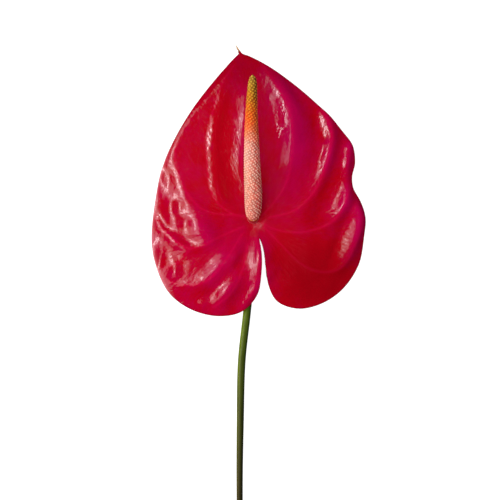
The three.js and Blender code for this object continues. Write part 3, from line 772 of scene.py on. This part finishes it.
outward = node(florets, "FunctionNodeAlignRotationToVector", axis="Z", Vector=arrow("facing"))
faced = node(florets, "FunctionNodeAlignRotationToVector", axis="Y", pivot_axis="Z",
             Rotation=outward.outputs[0], Vector=arrow("heading"))
smallest = worked_out(florets, 1.0, "SUBTRACT", given["Size Spread"])
largest = worked_out(florets, 1.0, "ADD", given["Size Spread"])
placed = node(florets, "GeometryNodeInstanceOnPoints", Points=form_of(given["Spots"]),
              Instance=form_of(given["Floret"]), Rotation=faced.outputs[0],
              Scale=drawn("FLOAT", _2=smallest, _3=largest).outputs[1])
back_lean = worked_out(florets, given["Lean"], "MULTIPLY", -1.0)
leaned = node(florets, "GeometryNodeRotateInstances", Instances=placed.outputs[0],
              Rotation=drawn("FLOAT_VECTOR", _0=back_lean, _1=given["Lean"]).outputs[0])
ripened = node(florets, "GeometryNodeStoreNamedAttribute", data_type="FLOAT", domain="INSTANCE",
               Geometry=leaned.outputs[0], Name="ripeness", Value=drawn("FLOAT").outputs[1])
solid = node(florets, "GeometryNodeRealizeInstances", Geometry=ripened.outputs[0])
together = node(florets, "GeometryNodeJoinGeometry")
florets.links.new(given["Geometry"], together.inputs[0])
florets.links.new(solid.outputs[0], together.inputs[0])
finished = node(florets, "GeometryNodeSetMaterial", Geometry=together.outputs[0], Material=given["Finish"])
node(florets, "NodeGroupOutput", Geometry=finished.outputs[0])

flesh, tree, surface = new_finish("spadix_florets")
place = object_place(tree)
up_spike = node(tree, "ShaderNodeSeparateXYZ", Vector=place).outputs["Y"]
wandering = times(tree, mottle(tree, place, WANDER_FINENESS, detail=2), TINT_WANDER, up_spike)
ripening = mapped(tree, wandering, SPIKE_TINTS_FROM, SPIKE_TINTS_TO)
# Painted shade in the gaps: where a floret isn't raised, the shaded-side tints gain.
shade_in_the_gaps = times(tree, painted(tree, "raised"), -GAP_PAINTED_SHADE, GAP_PAINTED_SHADE)
spike_painted_shade = worked_out(tree, painted(tree, "spike_painted_shade"), "ADD", shade_in_the_gaps, use_clamp=True)
# Painted light and shade: pale tints on the left, darker, redder tints on the right.
ground = blended(tree, tints(tree, ripening, RIPE_TINTS_PAINTED_LIT), tints(tree, ripening, RIPE_TINTS_PAINTED_SHADED), spike_painted_shade)
# The riper a floret is, the darker; the core between the florets, which has no ripeness, is bright.
shade = mapped(tree, painted(tree, "ripeness"), low=0, high=1,
               to_low=1 + FLORET_SHADES, to_high=1 - FLORET_SHADES)
shaded = blended(tree, ground, shade, blend_type="MULTIPLY")
on_stigma = times(tree, painted(tree, "stigma"), STIGMA_COVER)
dotted = blended(tree, shaded, tints(tree, ripening, STIGMA_TINTS), on_stigma)
neck_way = painted(tree, "neck")
on_neck = worked_out(tree, neck_way, "GREATER_THAN", NECK_EDGE)
collared = blended(tree, dotted, tints(tree, neck_way, NECK_TINTS), on_neck)
tree.links.new(collared, surface.inputs["Base Color"])
surface.inputs["Roughness"].default_value = 0.5
surface.inputs["Specular IOR Level"].default_value = 0.12
surface.inputs["Subsurface Weight"].default_value = 0.15
surface.inputs["Subsurface Radius"].default_value = (0.002, 0.0008, 0.0004)
surface.inputs["Subsurface Scale"].default_value = 1.0

growth = spadix.modifiers.new("florets", "NODES")
growth.node_group = florets
for name, value in (
    ("Spots", floret_spots), ("Floret", floret), ("Size Spread", SIZE_SPREAD), ("Lean", LEAN),
    ("Seed", GROWTH_SEED), ("Finish", flesh),
):
    growth[inlets[name].identifier] = value
grown = bpy.data.meshes.new_from_object(spadix.evaluated_get(bpy.context.evaluated_depsgraph_get()))
spadix.modifiers.clear()
spadix.data = grown
bpy.data.objects.remove(floret_spots)
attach(spadix, "root")
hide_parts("spadix")

# ---------------------------------------------------------------- table, light and camera
# A plain white table under a pale, even sky. One large soft light stands low on the left and is
# brighter towards its middle, a wash and an overhead light that the wax doesn't mirror lift the
# shadows, and the camera looks straight down on the open spathe.

TABLE_SIZE = 40  # in metres
FLOWER_MIDDLE = Vector((0.0, 0.11, 0.02))  # in metres
# Name, azimuth and elevation in degrees, distance and size in metres, power in watts, and the kind
# of ray that doesn't see the light, if there is one.
LIGHTS = [
    ("key", 175, 40.6, 0.9, (0.9, 0.52), 3.0, None),
    ("key_middle", 175, 40.6, 0.89, (0.5, 0.2), 1.4, "diffuse"),
    ("key_core", 173, 41.5, 0.88, (0.24, 0.07), 0.7, "diffuse"),
    ("wash", 168, 45, 1.1, (0.7, 0.7), 2, "glossy"),
    ("overhead", 175, 80, 1.2, (0.8, 0.8), 10, "glossy"),
]
CAMERA_OVER, CAMERA_HEIGHT = (-2.25, -14.6), 600.1  # from the junction, and from the table
CAMERA_SENSOR, CAMERA_LENS = 36, 76.7

bpy.ops.mesh.primitive_plane_add(size=TABLE_SIZE)
table = bpy.context.object
table.name = "table"
table_finish, _, surface = new_finish("white_table")
surface.inputs["Base Color"].default_value = (0.3, 0.3, 0.3, 1)
surface.inputs["Roughness"].default_value = 1.0
surface.inputs["Specular IOR Level"].default_value = 0.0
surface.inputs["Emission Color"].default_value = (1, 1, 1, 1)
surface.inputs["Emission Strength"].default_value = 0.95
table.data.materials.append(table_finish)
table.visible_diffuse = False
table.visible_glossy = False

world = bpy.data.worlds.new("studio")
world.use_nodes = True
world.node_tree.nodes["Background"].inputs["Color"].default_value = (1, 1, 1, 1)
world.node_tree.nodes["Background"].inputs["Strength"].default_value = 0.5
bpy.context.scene.world = world
world.cycles_visibility.glossy = False


def soft_light(name, azimuth, elevation, distance, size, power, unseen_by):
    """An area light at a bearing and height from the flower, facing it."""
    lamp = bpy.data.lights.new(name, "AREA")
    lamp.shape = "RECTANGLE"
    lamp.size, lamp.size_y = size
    lamp.energy = power
    holder = bpy.data.objects.new(name, lamp)
    a, e = math.radians(azimuth), math.radians(elevation)
    bearing = Vector((math.cos(a) * math.cos(e), math.sin(a) * math.cos(e), math.sin(e)))
    holder.location = FLOWER_MIDDLE + bearing * distance
    holder.rotation_mode = "QUATERNION"
    holder.rotation_quaternion = bearing.to_track_quat("Z", "Y")
    if unseen_by:
        setattr(holder, "visible_" + unseen_by, False)
    bpy.context.scene.collection.objects.link(holder)


for light in LIGHTS:
    soft_light(*light)

bpy.context.scene.view_settings.view_transform = "Standard"
camera = bpy.data.objects.new("camera", bpy.data.cameras.new("camera"))
camera.data.sensor_width = CAMERA_SENSOR
camera.data.lens = CAMERA_LENS
camera.data.clip_start = 0.01
camera.location = (*((JUNCTION[:2] + CAMERA_OVER) * MM), CAMERA_HEIGHT * MM)
bpy.context.scene.collection.objects.link(camera)
bpy.context.scene.camera = camera
